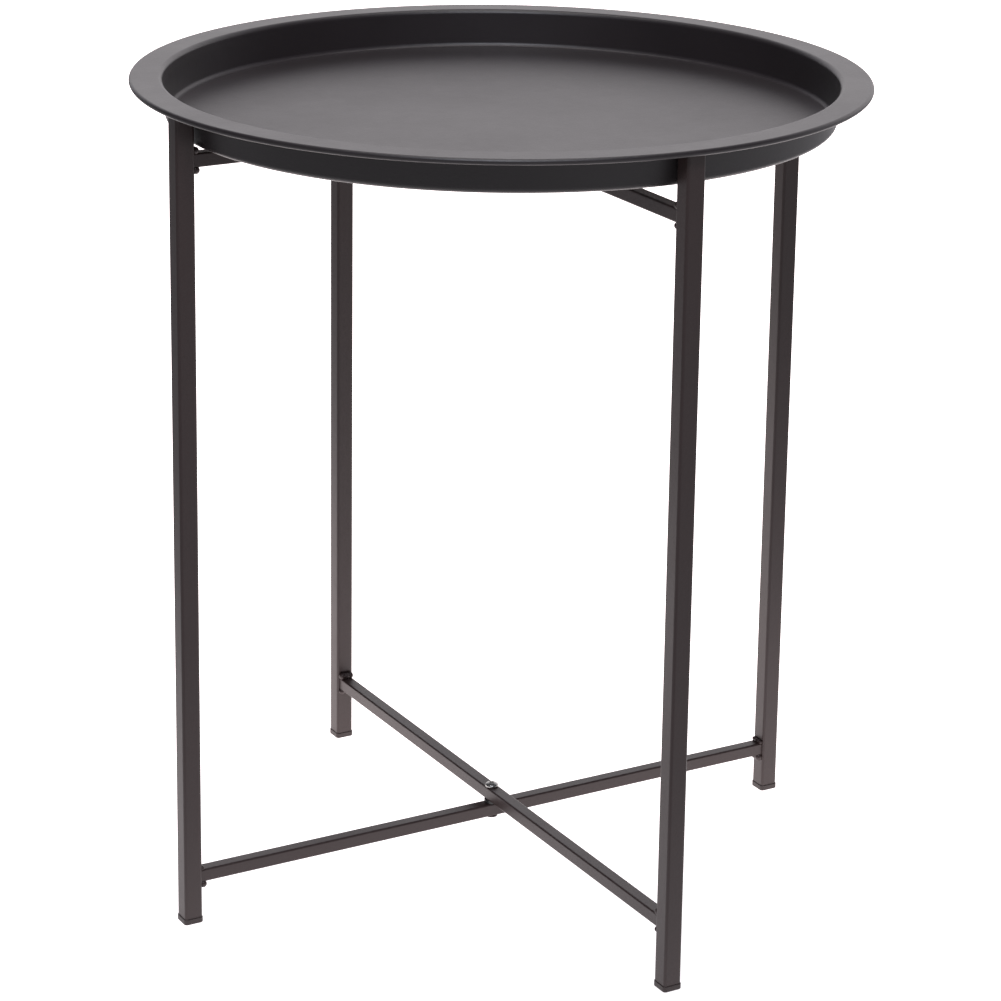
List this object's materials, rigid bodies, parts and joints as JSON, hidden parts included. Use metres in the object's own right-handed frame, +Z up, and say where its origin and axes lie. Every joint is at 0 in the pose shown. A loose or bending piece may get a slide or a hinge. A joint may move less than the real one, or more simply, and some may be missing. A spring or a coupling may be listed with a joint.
{
  "type": "folding tray table",
  "caption": "Round steel tray table with a lift-off rimmed tray on two crossing H-frames of square tube that fold flat about an upright pivot.",
  "frame": {"origin": "on the floor, under the centre of the tray, on the upright pivot axis", "axes": "+Z up along the pivot axis, +X along frame A's crossbars, +Y along frame B's crossbars when the frames stand open"},
  "size_m": [0.47, 0.47, 0.5415],
  "materials": {
    "tray_paint": "satin powder coat, very dark warm grey",
    "frame_paint": "satin powder coat, near black",
    "cap_plastic": "moulded black plastic",
    "zinc": "bright zinc plated",
    "nylon": "black nylon"
  },
  "bodies": {
    "frame_a": {"leg_a_left": "frame_paint", "leg_a_right": "frame_paint", "lower_bar_a": "frame_paint", "upper_bar_a": "frame_paint", "lower_welds_a": "frame_paint", "upper_welds_a": "frame_paint", "foot_cap_a_left": "cap_plastic", "foot_cap_a_right": "cap_plastic", "top_plug_a_left": "cap_plastic", "top_plug_a_right": "cap_plastic", "lower_pivot_screw": "zinc", "lower_pivot_spacer": "nylon", "lower_rivet_nut": "frame_paint"},
    "frame_b": {"leg_b_front": "frame_paint", "leg_b_rear": "frame_paint", "lower_bar_b": "frame_paint", "upper_bar_b": "frame_paint", "lower_welds_b": "frame_paint", "upper_welds_b": "frame_paint", "foot_cap_b_front": "cap_plastic", "foot_cap_b_rear": "cap_plastic", "top_plug_b_front": "cap_plastic", "top_plug_b_rear": "cap_plastic", "upper_pivot_screw": "zinc", "upper_pivot_spacer": "nylon", "upper_rivet_nut": "frame_paint"},
    "tray": {"tray": "tray_paint"}
  },
  "joints": [
    {"name": "frame_fold", "type": "hinge", "parent": "frame_a", "child": "frame_b", "pos_m": [0, 0, 0.0438], "axis": [0, 0, 1], "range_deg": [-86, 86]},
    {"name": "tray_lift", "type": "slide", "parent": "frame_a", "child": "tray", "axis": [0, 0, 1], "range_m": [0, 0.12]}
  ]
}
